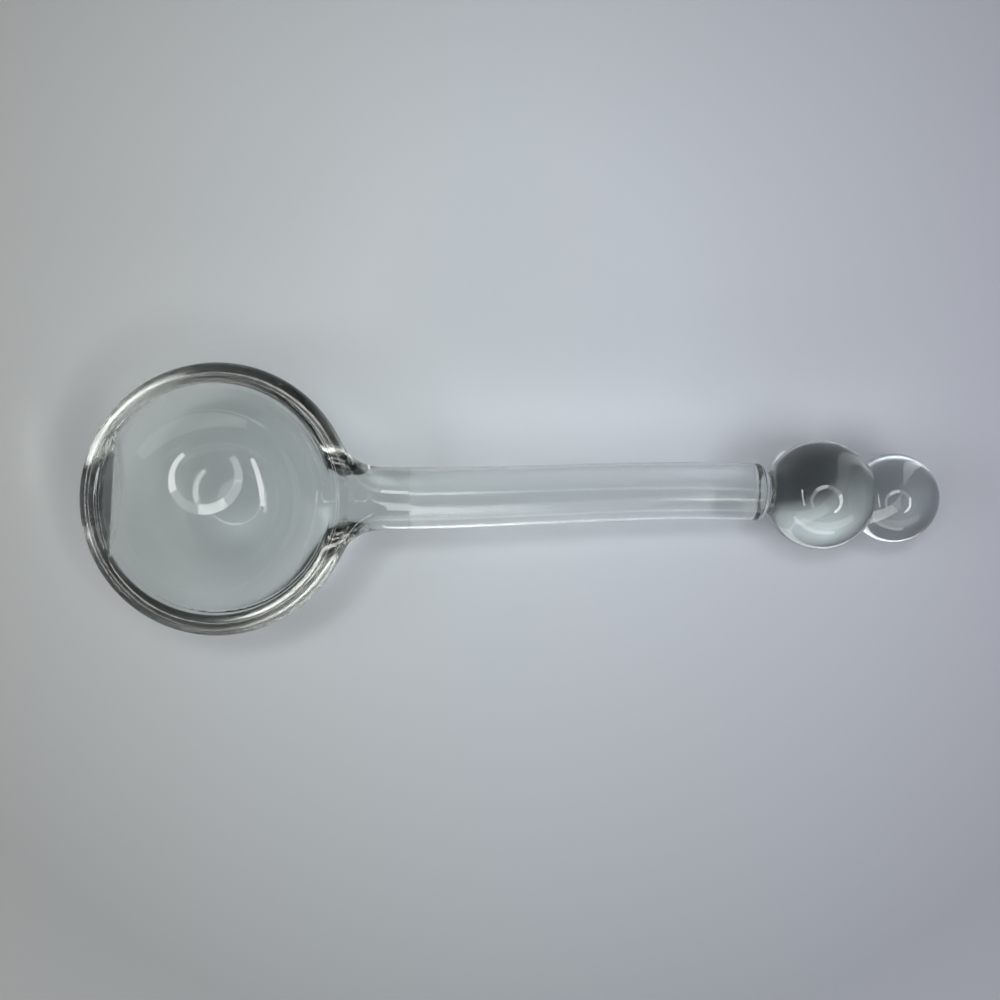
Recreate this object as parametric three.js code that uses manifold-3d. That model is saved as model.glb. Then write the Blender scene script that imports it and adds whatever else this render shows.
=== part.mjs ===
// Glass salt spoon: a round bowl, a bowed rod stem, a short neck and two balls, all welded hot.
// Millimetres, +Z up. The origin is the middle of the flat under the bowl; +X runs to the balls.

import * as THREE from 'three';
import { mergeVertices } from 'three/addons/utils/BufferGeometryUtils.js';
import Module from 'manifold-3d';

const wasm = await Module();
wasm.setup();

// Driving sizes

const RIM_DIAMETER = 24.6;
const BOWL_HEIGHT = 10.5;
const BASE_DIAMETER = 4.4;
const RIM_WALL = 1.9;
const FLOOR_THICKNESS = 3.8;
const LIP_FLAT_WIDTH = 8.4;
const LIP_FLAT_TURN = 3.5;
const LIP_DROP = 0.1;

const ROOT_LENGTH = 5.1;
const ROOT_FLARE = 1.7;
const ROOT_DIAMETER = 5.8;
const ROOT_DROP = 0.15;

const STEM_LENGTH = 32.9;
const STEM_END_DIAMETER = 5.4;
const STEM_BOW = 0.6;
const STEM_SHOULDER = 0.5;

const NECK_LENGTH = 1.3;
const NECK_DIAMETER = 4.4;
const NECK_WAIST_DEPTH = 0.25;

const LARGE_BALL_DIAMETER = 10.4;
const SMALL_BALL_DIAMETER = 8.5;
const BALL_WELD_DIAMETER = 6.3;

// Thin seam left at each hot weld, so that the pieces stay separate solids
const SEAM = 0.1;

// Fineness of the turned surfaces
const ROUND_STEPS = 56;
const ROD_STEPS = 40;
const ARC_STEPS = 16;

// Sizes that follow from the driving ones

const rimRadius = RIM_DIAMETER / 2;
const baseRadius = BASE_DIAMETER / 2;
const rootRadius = ROOT_DIAMETER / 2;
const neckRadius = NECK_DIAMETER / 2;
const largeRadius = LARGE_BALL_DIAMETER / 2;
const smallRadius = SMALL_BALL_DIAMETER / 2;
const weldRadius = BALL_WELD_DIAMETER / 2;

// The outside of the bowl is a ball through the edge of the base flat and the outer edge of the rim
const rimRound = RIM_WALL / 2;
const shoulderHeight = BOWL_HEIGHT - rimRound;
const outerCentre = (rimRadius ** 2 + shoulderHeight ** 2 - baseRadius ** 2) / (2 * shoulderHeight);
const outerRadius = Math.hypot(baseRadius, outerCentre);

// The inside is a ball through the middle of the floor and the inner edge of the rim
const innerShoulder = rimRadius - RIM_WALL;
const innerDepth = shoulderHeight - FLOOR_THICKNESS;
const innerRadius = (innerShoulder ** 2 + innerDepth ** 2) / (2 * innerDepth);
const innerCentre = FLOOR_THICKNESS + innerRadius;

// Stations along the handle axis, measured from the axis of the bowl
const rootEnd = rimRadius + ROOT_LENGTH;
const stemEnd = rootEnd + STEM_LENGTH;
const neckFlat = Math.sqrt(largeRadius ** 2 - neckRadius ** 2);
const largeReach = stemEnd + NECK_LENGTH + neckFlat;
const largeWeld = Math.sqrt(largeRadius ** 2 - weldRadius ** 2);
const smallWeld = Math.sqrt(smallRadius ** 2 - weldRadius ** 2);

// The handle slopes from just under the rim down to the large ball, which stands on the table
const axisAtRim = BOWL_HEIGHT - rootRadius - ROOT_DROP;
const slope = Math.asin((axisAtRim - largeRadius) / (largeReach - rimRadius));
const axisAtBowl = largeRadius + largeReach * Math.sin(slope);

// Solid and mesh helpers

function toSolid(geometry) {
  const bare = geometry.clone();
  bare.deleteAttribute('normal');
  bare.deleteAttribute('uv');
  const merged = mergeVertices(bare, 1e-5);
  return new wasm.Manifold(new wasm.Mesh({
    numProp: 3,
    vertProperties: new Float32Array(merged.attributes.position.array),
    triVerts: new Uint32Array(merged.index.array),
  }));
}

function toGeometry(solid) {
  const mesh = solid.getMesh();
  const geometry = new THREE.BufferGeometry();
  geometry.setAttribute('position', new THREE.BufferAttribute(mesh.vertProperties, 3));
  geometry.setIndex(new THREE.BufferAttribute(mesh.triVerts, 1));
  geometry.computeVertexNormals();
  return geometry;
}

function glassMesh(name, geometry, colour) {
  const material = new THREE.MeshStandardMaterial({ color: colour, roughness: 0.05, metalness: 0 });
  const mesh = new THREE.Mesh(geometry, material);
  mesh.name = name;
  return mesh;
}

// Points of an arc about (0, centre), from one angle to another; x is the radius, y the height
function arc(radius, centre, from, to) {
  const points = [];
  for (let i = 0; i <= ARC_STEPS; i += 1) {
    const angle = from + (to - from) * (i / ARC_STEPS);
    points.push(new THREE.Vector2(radius * Math.sin(angle), centre - radius * Math.cos(angle)));
  }
  return points;
}

// Turned about +Z
function turnedUpright(points) {
  return new THREE.LatheGeometry(points, ROUND_STEPS).rotateX(Math.PI / 2);
}

// Turned about +X
function turnedAlong(points) {
  return new THREE.LatheGeometry(points, ROD_STEPS).rotateZ(-Math.PI / 2);
}

// Points of a rounded neck or ball profile run from the low end of the axis to its high end
function closedOnAxis(points) {
  const first = new THREE.Vector2(0, points[0].y);
  const last = new THREE.Vector2(0, points[points.length - 1].y);
  return [first, ...points, last];
}

// Bowl: a turned wall with a round rim, a flat inside the front lip and a flared root for the stem

function bowlWall() {
  const baseAngle = Math.asin(baseRadius / outerRadius);
  const outerAngle = Math.acos((outerCentre - shoulderHeight) / outerRadius);
  const innerAngle = Math.acos((innerCentre - shoulderHeight) / innerRadius);
  const outside = arc(outerRadius, outerCentre, baseAngle, outerAngle);
  const inside = arc(innerRadius, innerCentre, innerAngle, 0);
  inside[inside.length - 1].x = 0;
  const rim = [];
  const rimSteps = ARC_STEPS / 2;
  for (let i = 1; i < rimSteps; i += 1) {
    const angle = Math.PI * (i / rimSteps);
    const radius = innerShoulder + rimRound + rimRound * Math.cos(angle);
    rim.push(new THREE.Vector2(radius, shoulderHeight + rimRound * Math.sin(angle)));
  }
  return toSolid(turnedUpright([new THREE.Vector2(0, 0), ...outside, ...rim, ...inside]));
}

// Space inside the bowl up to a given height, grown into the wall by an allowance
function bowlSpace(top, allowance) {
  const radius = innerRadius + allowance;
  const reach = Math.acos((innerCentre - top) / radius);
  const points = arc(radius, innerCentre, 0, reach);
  points[0].x = 0;
  points.push(new THREE.Vector2(0, top));
  return toSolid(turnedUpright(points));
}

// Thick front lip: the space cut off by an upright plane opposite the stem, level just under the rim
function frontLip() {
  const chord = Math.sqrt(innerShoulder ** 2 - (LIP_FLAT_WIDTH / 2) ** 2);
  const block = new THREE.BoxGeometry(RIM_DIAMETER, RIM_DIAMETER, RIM_DIAMETER);
  block.translate(-chord - rimRadius, 0, 0);
  block.rotateZ(-THREE.MathUtils.degToRad(LIP_FLAT_TURN));
  return bowlSpace(BOWL_HEIGHT - LIP_DROP, rimRound / 2).intersect(toSolid(block));
}

// Flared root: round at the stem, widening sideways into the middle of the wall
function flaredRoot() {
  const start = innerShoulder / 2;
  const end = rootEnd - SEAM / 2;
  const halfWidth = (station) => {
    const part = Math.min(1, (end - station) / ROOT_LENGTH);
    return rootRadius + ROOT_FLARE * part ** 2;
  };
  const points = [];
  for (let i = 0; i <= ARC_STEPS; i += 1) {
    const station = start + (end - start) * (i / ARC_STEPS);
    points.push(new THREE.Vector2(halfWidth(station), station));
  }
  const geometry = turnedAlong(closedOnAxis(points));
  const position = geometry.attributes.position;
  for (let i = 0; i < position.count; i += 1) {
    position.setZ(i, position.getZ(i) * (rootRadius / halfWidth(position.getX(i))));
  }
  geometry.rotateY(slope);
  geometry.translate(0, 0, axisAtBowl);
  return toSolid(geometry).subtract(bowlSpace(innerCentre, rimRound));
}

const bowlSolid = bowlWall().add(frontLip()).add(flaredRoot());
const bowl = glassMesh('bowl', toGeometry(bowlSolid), 0xd3dbd8);

// Stem: a drawn rod, slightly tapered, bowed to one side, with a rounded far end

const bowSpan = largeReach - rootEnd;

// Sideways place of the stem's middle line, and its direction, at a station along the axis
function bowAt(station) {
  const part = (station - rootEnd) / bowSpan;
  return 6.75 * STEM_BOW * part ** 2 * (1 - part);
}

function bowTurnAt(station) {
  const part = (station - rootEnd) / bowSpan;
  return Math.atan(6.75 * STEM_BOW * (2 * part - 3 * part ** 2) / bowSpan);
}

function bowedStem() {
  const start = rootEnd + SEAM / 2;
  const taperEnd = stemEnd - STEM_SHOULDER;
  const endRadius = STEM_END_DIAMETER / 2;
  const points = [];
  for (let i = 0; i <= ARC_STEPS; i += 1) {
    const part = i / ARC_STEPS;
    points.push(new THREE.Vector2(
      rootRadius + (endRadius - rootRadius) * Math.sin(part * Math.PI / 2),
      start + (taperEnd - start) * part,
    ));
  }
  const shoulderSteps = ARC_STEPS / 4;
  for (let i = 1; i <= shoulderSteps; i += 1) {
    const angle = (Math.PI / 2) * (i / shoulderSteps);
    points.push(new THREE.Vector2(
      neckRadius + (endRadius - neckRadius) * Math.cos(angle),
      taperEnd + STEM_SHOULDER * Math.sin(angle),
    ));
  }
  const geometry = turnedAlong(closedOnAxis(points));
  const position = geometry.attributes.position;
  for (let i = 0; i < position.count; i += 1) {
    const station = position.getX(i);
    const side = position.getY(i);
    const turn = bowTurnAt(station);
    position.setX(i, station - side * Math.sin(turn));
    position.setY(i, bowAt(station) + side * Math.cos(turn));
  }
  geometry.computeVertexNormals();
  return geometry;
}

const stem = glassMesh('stem', bowedStem(), 0xd6dedb);

// Neck: a short waist between the stem and the large ball

function waistedNeck() {
  const start = SEAM;
  const end = NECK_LENGTH;
  const points = [];
  for (let i = 0; i <= ARC_STEPS / 2; i += 1) {
    const part = i / (ARC_STEPS / 2);
    points.push(new THREE.Vector2(
      neckRadius - NECK_WAIST_DEPTH * Math.sin(part * Math.PI),
      start + (end - start) * part,
    ));
  }
  return turnedAlong(closedOnAxis(points));
}

const neck = glassMesh('neck', waistedNeck(), 0xc6cfcb);

// Balls: two balls cut flat where they are welded, on one axis with the neck

const largeCentre = NECK_LENGTH + neckFlat;
const smallCentre = largeCentre + largeWeld + smallWeld;

function cutBall(radius, centre, lowFlat, highFlat) {
  const points = arc(radius, centre, Math.acos(lowFlat / radius), Math.PI - Math.acos(highFlat / radius));
  return turnedAlong(closedOnAxis(points));
}

const largeBall = glassMesh(
  'large_ball',
  cutBall(largeRadius, largeCentre, neckFlat - SEAM, largeWeld - SEAM / 2),
  0xcbd4d0,
);
const smallBall = glassMesh(
  'small_ball',
  cutBall(smallRadius, smallCentre, smallWeld - SEAM / 2, smallRadius),
  0xcfd8d4,
);

// Assembly: the tip follows the end of the bowed stem, and the handle slopes from the bowl

const tip = new THREE.Group();
tip.name = 'tip';
tip.position.set(stemEnd, bowAt(stemEnd), 0);
tip.rotation.z = bowTurnAt(stemEnd);
tip.add(neck, largeBall, smallBall);

const handle = new THREE.Group();
handle.name = 'handle';
handle.position.set(0, 0, axisAtBowl);
handle.rotation.y = slope;
handle.add(stem, tip);

const spoon = new THREE.Group();
spoon.name = 'salt_spoon';
spoon.add(bowl, handle);

export default spoon;
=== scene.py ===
import math

import bmesh
import bpy
import numpy as np
from mathutils import Matrix, Vector


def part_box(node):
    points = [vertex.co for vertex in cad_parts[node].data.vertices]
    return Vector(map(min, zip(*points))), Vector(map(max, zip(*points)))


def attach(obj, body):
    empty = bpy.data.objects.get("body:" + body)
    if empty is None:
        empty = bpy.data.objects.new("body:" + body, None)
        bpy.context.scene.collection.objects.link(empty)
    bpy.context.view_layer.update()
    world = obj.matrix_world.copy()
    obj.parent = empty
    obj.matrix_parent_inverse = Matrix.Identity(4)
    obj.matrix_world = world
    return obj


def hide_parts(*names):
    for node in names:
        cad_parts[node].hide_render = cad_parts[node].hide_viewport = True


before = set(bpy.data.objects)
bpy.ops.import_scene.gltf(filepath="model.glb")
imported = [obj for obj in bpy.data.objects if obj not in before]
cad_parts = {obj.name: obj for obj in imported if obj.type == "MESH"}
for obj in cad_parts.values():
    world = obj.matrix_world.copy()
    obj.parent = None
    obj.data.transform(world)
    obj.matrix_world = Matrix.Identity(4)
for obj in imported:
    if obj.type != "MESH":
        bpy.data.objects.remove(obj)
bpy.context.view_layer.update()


# Bowl: a round thick-walled bowl of clear soda glass, blown, opened and fire-polished, with a flat
# left inside the front lip and a flared root where the stem runs into the wall.
# It stands on a small ground flat; the stem is welded hot to the end of the root.
MM = 0.001
bowl_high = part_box("bowl")[1]
rim_radius = bowl_high.y / MM
rim_height = bowl_high.z / MM
base_radius = 2.2
rim_wall = 1.9
floor_thickness = 3.8
lip_flat_width = 9.7
lip_flat_turn = math.radians(3.5)
root_length = 5.1
root_radius = 2.9
root_drop = 0.15
root_fillet = 3.6
root_top_softness = 0.8
root_overlap = 1.2
bead_softness = 0.35
lip_softness = 0.15
base_softness = 0.12
lip_drop = 0.1
lip_slope = 0.12
floor_lean = (-0.9, 1.2)

shoulder_height = rim_height - rim_wall / 2
outer_centre = (rim_radius ** 2 + shoulder_height ** 2 - base_radius ** 2) / (2 * shoulder_height)
outer_radius = math.hypot(base_radius, outer_centre)
inner_shoulder = rim_radius - rim_wall
crest_radius = rim_radius - rim_wall / 2
inner_depth = shoulder_height - floor_thickness
inner_radius = (inner_shoulder ** 2 + inner_depth ** 2) / (2 * inner_depth)
inner_centre = floor_thickness + inner_radius
lip_chord = math.sqrt(inner_shoulder ** 2 - (lip_flat_width / 2) ** 2)
root_end = rim_radius + root_length
rod_start = inner_shoulder * 0.7
rod_stop = root_end + 10
weld_slit = 0.01
skin_step = 0.16
skin_margin = 0.5

# The handle's axis slopes from just under the rim to the large ball, which stands on the table
large_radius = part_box("large_ball")[1].z / MM / 2
neck_radius = 2.2
neck_length = 1.3
stem_length = 32.9
stem_end = root_end + stem_length
large_reach = stem_end + neck_length + math.sqrt(large_radius ** 2 - neck_radius ** 2)
axis_at_rim = rim_height - root_radius - root_drop
slope = math.asin((axis_at_rim - large_radius) / (large_reach - rim_radius))
axis_at_bowl = large_radius + large_reach * math.sin(slope)
handle_place = Matrix.Translation((0, 0, axis_at_bowl)) @ Matrix.Rotation(slope, 4, "Y")
stem_end_radius = 2.7
root_taper = (root_radius - stem_end_radius) * math.pi / 2 / stem_length


def melted_join(a, b, size):
    """Two distance fields joined with a fillet, as hot glass runs together."""
    near = np.maximum(size - np.abs(a - b), 0) / size
    return np.minimum(a, b) - near * near * size / 4


def melted_cut(a, b, size):
    """Where both fields hold, with the shared edge rounded as by a flame."""
    return -melted_join(-a, -b, size)


def bowl_field(p):
    """Distance to the bowl's glass in millimetres, negative inside."""
    x, y, z = p[..., 0], p[..., 1], p[..., 2]
    across = np.sqrt(x * x + y * y)
    ball = np.hypot(across, z - outer_centre) - outer_radius
    low = 1 - z / rim_height
    aside = (x - floor_lean[0] * low) ** 2 + (y - floor_lean[1] * low) ** 2
    hollow = np.sqrt(aside + (z - inner_centre) ** 2) - inner_radius
    shell = np.maximum(np.maximum(ball, -hollow), z - shoulder_height)
    bead = np.hypot(across - crest_radius, z - shoulder_height) - rim_wall / 2
    wall = melted_join(shell, bead, bead_softness)
    ax, az = math.cos(slope), -math.sin(slope)
    along = np.clip(x * ax + (z - axis_at_bowl) * az, rod_start, rod_stop)
    off = np.sqrt((x - along * ax) ** 2 + y * y + (z - axis_at_bowl - along * az) ** 2)
    rod = off - root_radius - root_taper * (root_end - along)
    flare = np.maximum(melted_join(ball, rod, root_fillet), -ball - root_overlap)
    root = melted_cut(flare, z - rim_height + root_drop, root_top_softness)
    front = -x * math.cos(lip_flat_turn) + y * math.sin(lip_flat_turn) - lip_chord
    flat = melted_cut(-front, z - rim_height + lip_drop + lip_slope * front, lip_softness)
    lip = np.maximum(np.maximum(flat, across - crest_radius), ball + bead_softness)
    glass = melted_join(melted_join(wall, root, bead_softness), lip, lip_softness)
    return melted_cut(glass, -z, base_softness)


def steepest(field, p, step=1e-3):
    """Gradient of a field at points p."""
    g = np.empty_like(p)
    for k in range(3):
        d = np.zeros(3)
        d[k] = step
        g[:, k] = (field(p + d) - field(p - d)) / (2 * step)
    return g


def melted_skin(field, low, high, step, even_turns=8, settle_turns=4, least_slope=0.05):
    """Closed quad skin of a field's zero surface, pulled onto it; returns points and quads."""
    counts = [int(math.ceil((h - l) / step)) + 1 for l, h in zip(low, high)]
    axes = [l + step * np.arange(n) for l, n in zip(low, counts)]
    grid = field(np.stack(np.meshgrid(*axes, indexing="ij"), axis=-1))
    inside = grid < 0
    corner = [(i, j, k) for i in (0, 1) for j in (0, 1) for k in (0, 1)]
    cells = [n - 1 for n in counts]
    taken = [np.s_[i:i + cells[0], j:j + cells[1], k:k + cells[2]] for i, j, k in corner]
    filled = sum(inside[t].astype(np.int8) for t in taken)
    active = (filled > 0) & (filled < 8)
    values = [grid[t][active] for t in taken]
    total = np.zeros((len(values[0]), 3))
    hits = np.zeros(len(values[0]))
    for a in range(8):
        for b in range(a + 1, 8):
            if sum(abs(m - n) for m, n in zip(corner[a], corner[b])) != 1:
                continue
            cross = (values[a] < 0) != (values[b] < 0)
            t = np.where(cross, values[a] / np.where(cross, values[a] - values[b], 1), 0)
            ends = np.array(corner[a], float), np.array(corner[b], float)
            total += np.where(cross[:, None], ends[0] + t[:, None] * (ends[1] - ends[0]), 0)
            hits += cross
    points = np.array(low) + step * (np.argwhere(active) + total / hits[:, None])
    number = -np.ones(cells, dtype=np.int64)
    number[active] = np.arange(len(points))
    quads = []
    for axis in range(3):
        b, c = (axis + 1) % 3, (axis + 2) % 3
        ahead = [slice(1, -1)] * 3
        here = [slice(1, -1)] * 3
        here[axis], ahead[axis] = slice(0, -1), slice(1, None)
        start, stop = inside[tuple(here)], inside[tuple(ahead)]
        spots = np.argwhere(start != stop)
        outward = start[start != stop]
        spots[:, b] += 1
        spots[:, c] += 1
        ring = []
        for db, dc in ((-1, -1), (0, -1), (0, 0), (-1, 0)):
            cell = spots.copy()
            cell[:, b] += db
            cell[:, c] += dc
            ring.append(number[cell[:, 0], cell[:, 1], cell[:, 2]])
        ring = np.stack(ring, axis=1)
        quads.append(np.where(outward[:, None], ring, ring[:, ::-1]))
    quads = np.concatenate(quads)
    sides = np.concatenate([quads[:, (k, (k + 1) % 4)] for k in range(4)])
    for turn in range(even_turns + settle_turns):
        if turn < even_turns:
            pulled = [np.bincount(sides[:, 0], points[sides[:, 1], k], len(points)) for k in range(3)]
            shared = np.bincount(sides[:, 0], minlength=len(points))
            points = (points + np.stack(pulled, axis=1) / shared[:, None]) / 2
        g = steepest(field, points)
        points -= field(points)[:, None] * g / np.maximum((g * g).sum(1), least_slope)[:, None]
    return points, quads


class Sock:
    """A shader socket that takes part in Python sums; each sum adds its Math node."""

    def __init__(self, tree, socket):
        self.tree, self.socket = tree, socket

    def maths(self, operation, a, b):
        return node(self.tree, "ShaderNodeMath", {"operation": operation}, {0: a, 1: b})[0]

    def __add__(self, other):
        return self.maths("ADD", self, other)

    def __sub__(self, other):
        return self.maths("SUBTRACT", self, other)

    def __mul__(self, other):
        return self.maths("MULTIPLY", self, other)

    def __truediv__(self, other):
        return self.maths("DIVIDE", self, other)

    def __rsub__(self, other):
        return self.maths("SUBTRACT", other, self)

    def __rtruediv__(self, other):
        return self.maths("DIVIDE", other, self)

    __radd__ = __add__
    __rmul__ = __mul__


def node(tree, kind, settings, inputs):
    """One shader node: settings first, then socket values or links; returns its outputs."""
    made = tree.nodes.new(kind)
    for name, value in settings.items():
        if name == "stops":
            ramp = made.color_ramp
            while len(ramp.elements) < len(value):
                ramp.elements.new(0.5)
            for element, (place, colour) in zip(ramp.elements, value):
                element.position, element.color = place, colour
        else:
            setattr(made, name, value)
    for name, value in inputs.items():
        if isinstance(value, Sock):
            tree.links.new(value.socket, made.inputs[name])
        else:
            made.inputs[name].default_value = value
    return [Sock(tree, out) for out in made.outputs]


glass_bend = 1.5
glass_body = (0.64, 0.65, 0.635, 1)
cloud_scale, wave_scale, mark_scale = 90.0, 160.0, 900.0
mark_low, mark_high = 0.45, 0.8
mark_relief = 0.02


def clear_glass(name, light_tint, deep_tint, stretch, wave, haze, smear, absorption_and_painted_shade, worn=None):
    """Clear worked glass: cloudy tint, handling marks in the gloss and slow waves from the working.
    The glass is melted together at a weld, so faces marked as weld do not show.
    Its absorption is given piece by piece though every piece is the same glass, so it carries painted
    shade and painted light."""
    material = bpy.data.materials.new(name)
    material.use_nodes = True
    tree = material.node_tree
    tree.nodes.clear()
    place = node(tree, "ShaderNodeTexCoord", {}, {})[3]
    drawn = node(tree, "ShaderNodeMapping", {}, {"Vector": place, "Scale": stretch})[0]
    cloud = node(tree, "ShaderNodeTexNoise", {}, {"Vector": drawn, "Scale": cloud_scale, "Detail": 2.0})[0]
    waves = node(tree, "ShaderNodeTexNoise", {}, {"Vector": drawn, "Scale": wave_scale, "Detail": 1.0})[0]
    marks = node(tree, "ShaderNodeTexNoise", {}, {"Vector": place, "Scale": mark_scale, "Detail": 4.0})[0]
    tint = node(tree, "ShaderNodeMix", {"data_type": "RGBA"}, {0: cloud, 6: light_tint, 7: deep_tint})[2]
    gloss = node(
        tree,
        "ShaderNodeMapRange",
        {},
        {
            "Value": marks,
            "From Min": mark_low,
            "From Max": mark_high,
            "To Min": haze,
            "To Max": haze + smear,
        },
    )[0]
    if worn:
        middle, amounts = worn
        nearest, farthest = amounts[0][0], amounts[-1][0]
        reach = node(tree, "ShaderNodeVectorMath", {"operation": "DISTANCE"}, {0: place, 1: middle})[1]
        outward = node(
            tree, "ShaderNodeMapRange", {}, {"Value": reach, "From Min": nearest, "From Max": farthest}
        )[0]
        stops = [
            ((distance - nearest) / (farthest - nearest), (amount, amount, amount, 1))
            for distance, amount in amounts
        ]
        gloss = gloss + node(tree, "ShaderNodeValToRGB", {"stops": stops}, {"Fac": outward})[0]
    relief = node(
        tree,
        "ShaderNodeBump",
        {},
        {"Strength": 1.0, "Distance": wave, "Height": waves + marks * mark_relief},
    )[0]
    weld = node(tree, "ShaderNodeAttribute", {"attribute_name": "weld"}, {})[2]
    shader = node(
        tree,
        "ShaderNodeBsdfPrincipled",
        {},
        {
            "Base Color": tint,
            "Roughness": gloss,
            "Normal": relief,
            "Alpha": 1 - weld,
            "Transmission Weight": 1.0,
            "IOR": glass_bend,
        },
    )[0]
    # Absorption set per piece: besides the glass's own tint, it darkens some pieces as painted shade and
    # leaves the stem light as painted light.
    body = node(tree, "ShaderNodeVolumeAbsorption", {}, {"Color": glass_body, "Density": absorption_and_painted_shade})[0]
    node(tree, "ShaderNodeOutputMaterial", {}, {"Surface": shader, "Volume": body})
    return material


def glass_piece(name, mesh, glass, cad_node):
    """Puts a finished mesh in the scene in place of its CAD node."""
    piece = bpy.data.objects.new(name, mesh)
    bpy.context.collection.objects.link(piece)
    mesh.materials.append(glass)
    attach(piece, "root")
    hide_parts(cad_node)


bowl_points, bowl_quads = melted_skin(
    bowl_field,
    (-rim_radius - skin_margin, -rim_radius - skin_margin, -skin_margin),
    (root_end + 2 * skin_margin, rim_radius + skin_margin, rim_height + skin_margin),
    skin_step,
)
bowl_mesh = bpy.data.meshes.new("bowl_skin")
bowl_mesh.from_pydata(bowl_points.tolist(), [], bowl_quads.tolist())
build = bmesh.new()
build.from_mesh(bowl_mesh)
mark = build.faces.layers.float.new("weld")
weld_point = handle_place @ Vector((root_end - weld_slit / 2, 0, 0))
weld_normal = handle_place.to_3x3() @ Vector((1, 0, 0))
bmesh.ops.bisect_plane(
    build,
    geom=build.verts[:] + build.edges[:] + build.faces[:],
    dist=1e-5,
    plane_co=weld_point,
    plane_no=weld_normal,
    clear_outer=True,
)
open_edges = [e for e in build.edges if e.is_boundary]
caps = bmesh.ops.contextual_create(build, geom=open_edges)["faces"]
for face in build.faces:
    face.smooth = True
for face in caps:
    face.smooth = False
    face[mark] = 1.0
    if face.normal.dot(weld_normal) < 0:
        face.normal_flip()
bmesh.ops.recalc_face_normals(build, faces=build.faces[:])
build.to_mesh(bowl_mesh)
build.free()
at = np.array([v.co for v in bowl_mesh.vertices])
slopes = steepest(bowl_field, at)
slopes /= np.linalg.norm(slopes, axis=1)[:, None]
loop_normals = []
for face, weld in zip(bowl_mesh.polygons, bowl_mesh.attributes["weld"].data):
    for v in face.vertices:
        loop_normals.append(weld_normal if weld.value else slopes[v])
bowl_mesh.transform(Matrix.Scale(MM, 4))
bowl_mesh.normals_split_custom_set([tuple(n) for n in loop_normals])

# Roughness by distance from the middle of the hollow: lip flat, bright hollow, outside, underside
bowl_middle = (0, 0, inner_centre * MM)
rubbed_places = [
    (0.0106, 0.4),
    (0.0116, 0.4),
    (0.0119, 0.0),
    (0.01265, 0.0),
    (0.0132, 0.2),
    (0.0156, 0.05),
]
# Partly the glass's own tint and partly painted shade: the bowl's absorption is set high, which darkens
# the floor of the hollow.
bowl_glass = clear_glass(
    "bowl_glass",
    light_tint=(0.965, 0.985, 0.98, 1),
    deep_tint=(0.93, 0.965, 0.95, 1),
    stretch=(1, 1, 1),
    wave=0.000008,
    haze=0.0,
    smear=0.03,
    absorption_and_painted_shade=95.0,
    worn=(bowl_middle, rubbed_places),
)
glass_piece("bowl_skin", bowl_mesh, bowl_glass, "bowl")


# Stem: a drawn rod of the same glass, a little thinner towards its far end and bowed to one side.
# Its far end is rounded off where it is drawn down to the neck.
stem_bow = 0.6
stem_shoulder = 0.12
shoulder_radius = 2.62
bow_span = large_reach - root_end
bow_peak = 27 / 4
stem_rings = 120
shoulder_rings = 12
rod_sides = 128


def bow_at(station):
    """Sideways place of the stem's middle line at a station along the axis."""
    part = (station - root_end) / bow_span
    return bow_peak * stem_bow * part ** 2 * (1 - part)


def bow_turn_at(station):
    """Direction of the stem's middle line at a station along the axis."""
    part = (station - root_end) / bow_span
    return math.atan(bow_peak * stem_bow * (2 * part - 3 * part ** 2) / bow_span)


def on_bow(station, side, up):
    """A point beside the bowed middle line, in the row frame."""
    turn = bow_turn_at(station)
    x = station - side * math.sin(turn)
    y = bow_at(station) + side * math.cos(turn)
    return handle_place @ Vector((x, y, up))


def turned_glass(name, outline, place, steps):
    """Closed mesh turned from (station, radius) points; a last radius of 0 closes to a tip."""
    build = bmesh.new()
    mark = build.faces.layers.float.new("weld")
    rings = []
    (start, start_radius), (stop, stop_radius) = outline[0], outline[-1]
    drawn_in = [(start + weld_slit / 2, start_radius)]
    drawn_in += outline[1:-1]
    drawn_in += [(stop - weld_slit / 2, stop_radius)]
    for station, radius in drawn_in:
        if radius < 1e-6:
            rings.append([build.verts.new(place(station, 0, 0) * MM)])
            continue
        ring = []
        for i in range(steps):
            angle = 2 * math.pi * i / steps
            point = place(station, radius * math.cos(angle), radius * math.sin(angle))
            ring.append(build.verts.new(point * MM))
        rings.append(ring)
    for low, high in zip(rings, rings[1:]):
        for i in range(steps):
            j = (i + 1) % steps
            corners = [low[i], low[j], high[j % len(high)], high[i % len(high)]]
            face = build.faces.new(list(dict.fromkeys(corners)))
            face.smooth = True
    for ring in (rings[0], rings[-1]):
        if len(ring) > 1:
            build.faces.new(ring)[mark] = 1.0
    bmesh.ops.recalc_face_normals(build, faces=build.faces[:])
    for edge in build.edges:
        if len({face[mark] for face in edge.link_faces}) == 2:
            edge.smooth = False
    mesh = bpy.data.meshes.new(name)
    build.to_mesh(mesh)
    build.free()
    return mesh


stem_outline = []
for i in range(stem_rings + 1):
    part = i / stem_rings
    stem_outline.append((
        root_end + (stem_length - stem_shoulder) * part,
        root_radius + (stem_end_radius - root_radius) * math.sin(part * math.pi / 2),
    ))
for i in range(1, shoulder_rings + 1):
    angle = math.pi / 2 * i / shoulder_rings
    stem_outline.append((
        stem_end - stem_shoulder + stem_shoulder * math.sin(angle),
        shoulder_radius + (stem_end_radius - shoulder_radius) * math.cos(angle),
    ))
stem_mesh = turned_glass("stem_skin", stem_outline, on_bow, rod_sides)
# Painted light: the stem's glass absorbs far less than the other pieces', though it is the same glass,
# which keeps the rod bright.
stem_glass = clear_glass(
    "stem_glass",
    light_tint=(0.965, 0.985, 0.98, 1),
    deep_tint=(0.935, 0.97, 0.955, 1),
    stretch=(0.25, 1, 1),
    wave=0.000008,
    haze=0.12,
    smear=0.03,
    absorption_and_painted_shade=15.0,
)
glass_piece("stem_skin", stem_mesh, stem_glass, "stem")


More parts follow.
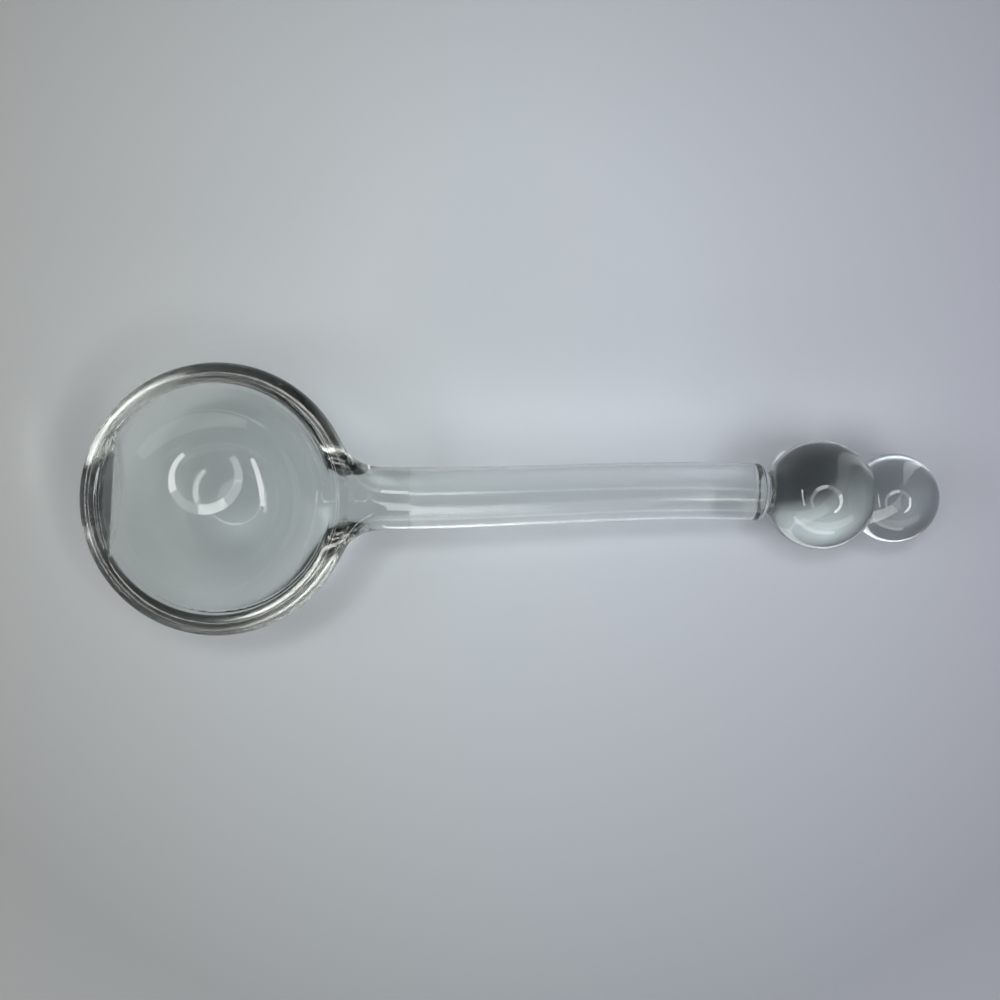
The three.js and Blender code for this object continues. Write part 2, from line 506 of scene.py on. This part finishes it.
# Neck: a short waist of glass drawn in between the end of the stem and the large ball.
# It is welded to both and runs on in the direction of the stem's end.
neck_waist = 0.3
neck_round = 0.42
waist_rings = 16
tip_turn = bow_turn_at(stem_end)
tip_place = (
    handle_place
    @ Matrix.Translation((stem_end, bow_at(stem_end), 0))
    @ Matrix.Rotation(tip_turn, 4, "Z")
)


def on_tip(station, side, up):
    """A point beside the straight axis of the neck and balls, in the row frame."""
    return tip_place @ Vector((station, side, up))


neck_outline = []
for i in range(shoulder_rings + 1):
    angle = math.pi / 2 * i / shoulder_rings
    neck_outline.append((
        neck_round * math.sin(angle),
        neck_radius + (shoulder_radius - neck_radius) * math.cos(angle),
    ))
for i in range(1, waist_rings + 1):
    part = i / waist_rings
    neck_outline.append((
        neck_round + (neck_length - neck_round) * part,
        neck_radius - neck_waist * math.sin(part * math.pi),
    ))
neck_mesh = turned_glass("neck_skin", neck_outline, on_tip, rod_sides)
# Painted shade: the neck's glass absorbs more than the stem's and is tinted a little deeper, though it is
# the same glass.
neck_glass = clear_glass(
    "neck_glass",
    light_tint=(0.95, 0.975, 0.965, 1),
    deep_tint=(0.92, 0.96, 0.945, 1),
    stretch=(1, 1, 1),
    wave=0.000006,
    haze=0.0,
    smear=0.03,
    absorption_and_painted_shade=45.0,
)
glass_piece("neck_skin", neck_mesh, neck_glass, "neck")


# Large ball: a solid ball of clear glass on which the handle stands.
# It is flattened by the weld on both sides, to the neck and to the small ball.
ball_weld_radius = 3.15
ball_rings, ball_sides = 96, 144
neck_flat = math.sqrt(large_radius ** 2 - neck_radius ** 2)
large_weld = math.sqrt(large_radius ** 2 - ball_weld_radius ** 2)
large_centre = neck_length + neck_flat


def ball_outline(radius, centre, low_flat, high_flat, steps):
    """Points of a ball's side between two flats at these distances from its middle."""
    start = math.pi - math.acos(low_flat / radius)
    stop = math.acos(high_flat / radius)
    points = []
    for i in range(steps + 1):
        angle = start + (stop - start) * i / steps
        points.append((centre + radius * math.cos(angle), radius * math.sin(angle)))
    return points


large_outline = ball_outline(large_radius, large_centre, neck_flat, large_weld, ball_rings)
large_mesh = turned_glass("large_ball_skin", large_outline, on_tip, ball_sides)
# Painted shade: the large ball's glass absorbs most and its tints are a little deeper, though it is the
# same glass as the stem.
large_glass = clear_glass(
    "large_ball_glass",
    light_tint=(0.955, 0.98, 0.97, 1),
    deep_tint=(0.92, 0.96, 0.945, 1),
    stretch=(1, 1, 1),
    wave=0.000008,
    haze=0.0,
    smear=0.02,
    absorption_and_painted_shade=165.0,
)
glass_piece("large_ball_skin", large_mesh, large_glass, "large_ball")


# Small ball: a smaller solid ball, pressed hot into the end of the large one.
# The two share one round weld, and a sharp crease runs round it.
small_radius = 4.25
small_weld = math.sqrt(small_radius ** 2 - ball_weld_radius ** 2)
small_centre = large_centre + large_weld + small_weld
small_outline = ball_outline(small_radius, small_centre, small_weld, small_radius, ball_rings)
small_mesh = turned_glass("small_ball_skin", small_outline, on_tip, ball_sides)
# Painted shade: the small ball's glass absorbs more than the stem's and is tinted a little deeper, though
# it is the same glass.
small_glass = clear_glass(
    "small_ball_glass",
    light_tint=(0.955, 0.98, 0.97, 1),
    deep_tint=(0.925, 0.965, 0.95, 1),
    stretch=(1, 1, 1),
    wave=0.000008,
    haze=0.0,
    smear=0.02,
    absorption_and_painted_shade=60.0,
)
glass_piece("small_ball_skin", small_mesh, small_glass, "small_ball")


# Stage: a pale table under soft studio light, with a painted pool of light and a painted cool cast in its
# colour.
# A broken ring of light hangs over the table, a bar and two panels stand at the sides, and a little light
# comes in low from all round.
view_height = 0.108
view_width = 0.1
view_roll = math.radians(-0.25)
view_centre = (0.0258, -0.0002)
table_size = 1.0
table_drop = 0.0002
# Painted pool of light on the table: its colour is brightest round this middle and fades out over this
# reach.
painted_pool_middle = (0.002, 0.019, 0.0)
painted_pool_reach = 0.106
painted_pool_stops = [(0.0, (0.6, 0.6, 0.6, 1)), (0.3, (0.55, 0.55, 0.55, 1)), (0.85, (1.0, 1.0, 1.0, 1))]
# Pale cloth colour with a painted cool cast of the light: it turns bluer across the view towards +X.
cloth_and_cast_stops = [(0.0, (0.81, 0.84, 0.83, 1)), (0.5, (0.79, 0.85, 0.90, 1)), (1.0, (0.80, 0.83, 0.94, 1))]
bpy.ops.mesh.primitive_plane_add(size=table_size, location=(view_centre[0], view_centre[1], -table_drop))
table = bpy.context.object
table.name = "table"
# The table's colour carries painted light: a painted pool of light and a painted cool cast over the pale
# cloth.
table_colour_and_painted_light = bpy.data.materials.new("table_colour_and_painted_light")
table_colour_and_painted_light.use_nodes = True
tree = table_colour_and_painted_light.node_tree
tree.nodes.clear()
place = node(tree, "ShaderNodeTexCoord", {}, {})[3]
# Painted pool of light: the table's colour is multiplied up to white round the middle and down to about
# 0.6 away from it.
near = node(
    tree,
    "ShaderNodeMapping",
    {"vector_type": "TEXTURE"},
    {"Vector": place, "Location": painted_pool_middle, "Scale": (painted_pool_reach,) * 3},
)[0]
middle = node(tree, "ShaderNodeTexGradient", {"gradient_type": "SPHERICAL"}, {"Vector": near})[1]
painted_pool = node(tree, "ShaderNodeValToRGB", {"stops": painted_pool_stops}, {"Fac": middle})[0]
# Painted cool cast: this gradient across the view tints the pale cloth bluer towards +X.
across = node(
    tree,
    "ShaderNodeMapping",
    {},
    {"Vector": place, "Location": (0.5, 0.0, 0.0), "Scale": (1 / view_width,) * 3},
)[0]
side = node(tree, "ShaderNodeTexGradient", {"gradient_type": "LINEAR"}, {"Vector": across})[1]
cloth_and_painted_cast = node(tree, "ShaderNodeValToRGB", {"stops": cloth_and_cast_stops}, {"Fac": side})[0]
cover = node(
    tree,
    "ShaderNodeMix",
    {"data_type": "RGBA", "blend_type": "MULTIPLY"},
    {0: 1.0, 6: cloth_and_painted_cast, 7: painted_pool},
)[2]
matt = node(
    tree,
    "ShaderNodeBsdfPrincipled",
    {},
    {"Base Color": cover, "Roughness": 1.0, "Specular IOR Level": 0.0},
)[0]
node(tree, "ShaderNodeOutputMaterial", {}, {"Surface": matt})
table.data.materials.append(table_colour_and_painted_light)

ring_centre = (0.036, -0.108)
ring_inner, ring_outer, ring_height = 0.180, 0.235, 0.36
ring_steps = 24


def arc_lamp(name, start, stop, brightness):
    """One even arc of the ring of light, between two angles in degrees."""
    build = bmesh.new()
    last = None
    for i in range(ring_steps + 1):
        angle = math.radians(start + (stop - start) * i / ring_steps)
        pair = []
        for radius in (ring_inner, ring_outer):
            x = ring_centre[0] + radius * math.cos(angle)
            y = ring_centre[1] + radius * math.sin(angle)
            pair.append(build.verts.new((x, y, ring_height)))
        if last:
            build.faces.new((last[0], pair[0], pair[1], last[1]))
        last = pair
    mesh = bpy.data.meshes.new(name)
    build.to_mesh(mesh)
    build.free()
    glow = bpy.data.materials.new(name + "_glow")
    glow.use_nodes = True
    tree = glow.node_tree
    tree.nodes.clear()
    shine = node(tree, "ShaderNodeEmission", {}, {"Color": (1, 1, 1, 1), "Strength": brightness})[0]
    node(tree, "ShaderNodeOutputMaterial", {}, {"Surface": shine})
    mesh.materials.append(glow)
    lamp = bpy.data.objects.new(name, mesh)
    lamp.visible_camera = False
    bpy.context.collection.objects.link(lamp)


def soft_lamp(name, tilt, turn, distance, size, brightness):
    """A rectangular soft light at a tilt from straight up and a turn from +X, facing the object."""
    middle = Vector((view_centre[0], view_centre[1], 0))
    rise, round_by = math.radians(tilt), math.radians(turn)
    aim = Vector((
        math.sin(rise) * math.cos(round_by),
        math.sin(rise) * math.sin(round_by),
        math.cos(rise),
    ))
    lamp = bpy.data.lights.new(name, "AREA")
    lamp.shape = "RECTANGLE"
    lamp.size, lamp.size_y = size
    lamp.energy = brightness * math.pi * size[0] * size[1]
    holder = bpy.data.objects.new(name, lamp)
    holder.location = middle + aim * distance
    holder.rotation_euler = aim.to_track_quat("Z", "Y").to_euler()
    holder.visible_camera = False
    bpy.context.collection.objects.link(holder)


arc_lamp("ring_right", start=-50, stop=30, brightness=10.0)
arc_lamp("ring_far_right", start=30, stop=84, brightness=2.5)
arc_lamp("ring_far", start=84, stop=126, brightness=8.0)
arc_lamp("ring_left", start=126, stop=208, brightness=3.6)
soft_lamp("bar_lamp", tilt=46, turn=189, distance=0.32, size=(0.19, 0.023), brightness=9.0)
soft_lamp("near_panel", tilt=68, turn=280, distance=0.32, size=(0.62, 0.11), brightness=1.5)
soft_lamp("low_panel", tilt=83.5, turn=258, distance=0.30, size=(0.44, 0.055), brightness=2.8)

horizon_top, dim_above = 0.05, 0.3
horizon_strength, overhead_strength = 0.26, 0.02
glow_side = (0.93, 0.0, 0.37)
glow_edge = 0.8
glow_strength = 0.3
air_colour = (0.9, 0.95, 1.0, 1)
world = bpy.data.worlds.new("studio")
bpy.context.scene.world = world
world.use_nodes = True
tree = world.node_tree
tree.nodes.clear()
sky = node(tree, "ShaderNodeTexCoord", {}, {})[0]
height = node(tree, "ShaderNodeSeparateXYZ", {}, {"Vector": sky})[2]
low_light = node(
    tree,
    "ShaderNodeMapRange",
    {},
    {
        "Value": height,
        "From Min": horizon_top,
        "From Max": dim_above,
        "To Min": horizon_strength,
        "To Max": overhead_strength,
    },
)[0]
right = node(tree, "ShaderNodeVectorMath", {"operation": "DOT_PRODUCT"}, {0: sky, 1: glow_side})[1]
right_light = node(
    tree,
    "ShaderNodeMapRange",
    {"interpolation_type": "SMOOTHSTEP"},
    {"Value": right, "From Min": glow_edge, "From Max": 1.0, "To Min": 0.0, "To Max": glow_strength},
)[0]
air = node(tree, "ShaderNodeBackground", {}, {"Color": air_colour, "Strength": low_light + right_light})[0]
node(tree, "ShaderNodeOutputWorld", {}, {"Surface": air})

lens = bpy.data.cameras.new("view")
lens.sensor_fit = "HORIZONTAL"
lens.angle = 2 * math.atan(view_width / 2 / view_height)
lens.clip_start = 0.001
camera = bpy.data.objects.new("view", lens)
camera.location = (view_centre[0], view_centre[1], view_height)
camera.rotation_euler = (0, 0, view_roll)
bpy.context.collection.objects.link(camera)
scene = bpy.context.scene
scene.camera = camera
scene.view_settings.view_transform = "Standard"
scene.cycles.max_bounces = 24
scene.cycles.transmission_bounces = 24
scene.cycles.glossy_bounces = 12
scene.cycles.transparent_max_bounces = 24
scene.cycles.blur_glossy = 0.0
